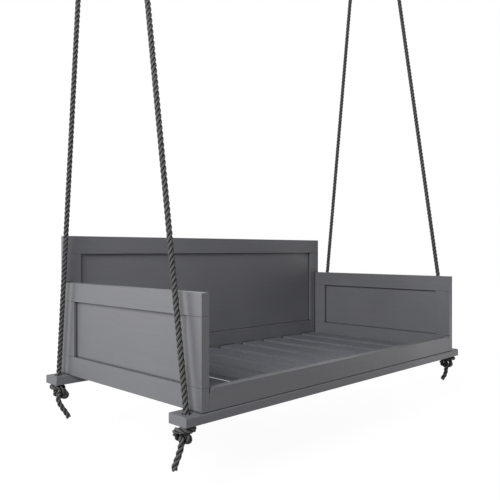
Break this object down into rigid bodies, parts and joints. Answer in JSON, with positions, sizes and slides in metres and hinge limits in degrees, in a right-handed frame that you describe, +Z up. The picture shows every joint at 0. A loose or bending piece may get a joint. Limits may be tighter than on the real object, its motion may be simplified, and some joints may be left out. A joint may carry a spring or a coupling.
{
  "type": "hanging swing bed",
  "caption": "Timber day bed with panelled back and arms on planks that hang from ropes, so that it swings.",
  "frame": {"origin": "on the ceiling plane, in the middle of the ceiling hangers' pattern", "axes": "+X to the right along the bed, +Y from the front to the back, +Z up"},
  "size_m": [2.175, 1.082, 2.8912],
  "materials": {
    "painted_wood": "charcoal grey paint, satin, faint grain",
    "slat_wood": "charcoal grey paint, satin",
    "bare_wood": "bare beech",
    "rope": "black three-strand twisted rope",
    "galvanised_steel": "galvanised, matt",
    "screw_steel": "zinc plated"
  },
  "bodies": {
    "ceiling": {"hanger_front_left": "galvanised_steel", "hanger_front_right": "galvanised_steel", "hanger_back_left": "galvanised_steel", "hanger_back_right": "galvanised_steel", "hanger_pins": "galvanised_steel"},
    "front_links": {"shackle_front_left": "galvanised_steel", "shackle_front_right": "galvanised_steel", "front_shackle_pins": "galvanised_steel"},
    "back_links": {"shackle_back_left": "galvanised_steel", "shackle_back_right": "galvanised_steel", "back_shackle_pins": "galvanised_steel"},
    "front_left_rope": {"rope_front_left": "rope", "thimble_front_left": "galvanised_steel"},
    "front_right_rope": {"rope_front_right": "rope", "thimble_front_right": "galvanised_steel"},
    "back_left_rope": {"rope_back_left": "rope", "thimble_back_left": "galvanised_steel"},
    "back_right_rope": {"rope_back_right": "rope", "thimble_back_right": "galvanised_steel"},
    "front_left_knot": {"knot_front_left": "rope"},
    "bed": {"front_plank": "painted_wood", "back_plank": "painted_wood", "left_arm_top_rail": "painted_wood", "left_arm_bottom_rail": "painted_wood", "left_arm_front_stile": "painted_wood", "left_arm_back_stile": "painted_wood", "left_arm_panel": "painted_wood", "right_arm_top_rail": "painted_wood", "right_arm_bottom_rail": "painted_wood", "right_arm_front_stile": "painted_wood", "right_arm_back_stile": "painted_wood", "right_arm_panel": "painted_wood", "back_top_rail": "painted_wood", "back_bottom_rail": "painted_wood", "back_left_stile": "painted_wood", "back_right_stile": "painted_wood", "back_panel": "painted_wood", "front_rail": "painted_wood", "slat_01": "slat_wood", "slat_02": "slat_wood", "slat_03": "slat_wood", "slat_04": "slat_wood", "slat_05": "slat_wood", "slat_06": "slat_wood", "slat_07": "slat_wood", "slat_08": "slat_wood", "slat_09": "slat_wood", "slat_10": "slat_wood", "slat_screws": "screw_steel", "plank_screws": "screw_steel", "back_screws": "screw_steel", "rail_dowels": "bare_wood", "frame_dowels": "bare_wood", "knot_front_right": "rope", "knot_back_left": "rope", "knot_back_right": "rope"}
  },
  "joints": [
    {"name": "front_back_swing", "type": "hinge", "parent": "ceiling", "child": "front_links", "pos_m": [0, -0.151, -0.04], "axis": [1, 0, 0], "range_deg": [-8, 8]},
    {"name": "back_links_swing", "type": "hinge", "parent": "ceiling", "child": "back_links", "pos_m": [0, 0.151, -0.04], "axis": [1, 0, 0], "range_deg": [-8.2, 8.2]},
    {"name": "side_sway", "type": "hinge", "parent": "front_links", "child": "front_left_rope", "pos_m": [-1.0375, -0.15939, -0.09506], "axis": [0, 0.9886, -0.1507], "range_deg": [-2.8, 2.8]},
    {"name": "front_right_rope_sway", "type": "hinge", "parent": "front_links", "child": "front_right_rope", "pos_m": [1.0375, -0.15939, -0.09506], "axis": [0, 0.9886, -0.1507], "range_deg": [-2.9, 2.9]},
    {"name": "back_left_rope_sway", "type": "hinge", "parent": "back_links", "child": "back_left_rope", "pos_m": [-1.0375, 0.15682, -0.09539], "axis": [0, 0.9945, 0.1045], "range_deg": [-2.9, 2.9]},
    {"name": "back_right_rope_sway", "type": "hinge", "parent": "back_links", "child": "back_right_rope", "pos_m": [1.0375, 0.15682, -0.09539], "axis": [0, 0.9945, 0.1045], "range_deg": [-2.9, 2.9]},
    {"name": "front_left_knot_turn", "type": "hinge", "parent": "front_left_rope", "child": "front_left_knot", "pos_m": [-1.0375, -0.5565, -2.7], "axis": [0, 0.9886, -0.1507], "range_deg": [-2.9, 2.9]},
    {"name": "bed_tilt", "type": "hinge", "parent": "front_left_knot", "child": "bed", "pos_m": [-1.0375, -0.5565, -2.7], "axis": [1, 0, 0], "range_deg": [-2.65, 2.65]}
  ],
  "couplings": [
    {"joint": "back_links_swing", "follows": "front_back_swing", "ratio": 1},
    {"joint": "bed_tilt", "follows": "front_back_swing", "ratio": -0.306},
    {"joint": "front_right_rope_sway", "follows": "side_sway", "ratio": 1},
    {"joint": "back_left_rope_sway", "follows": "side_sway", "ratio": 1},
    {"joint": "back_right_rope_sway", "follows": "side_sway", "ratio": 1},
    {"joint": "front_left_knot_turn", "follows": "side_sway", "ratio": -1}
  ]
}
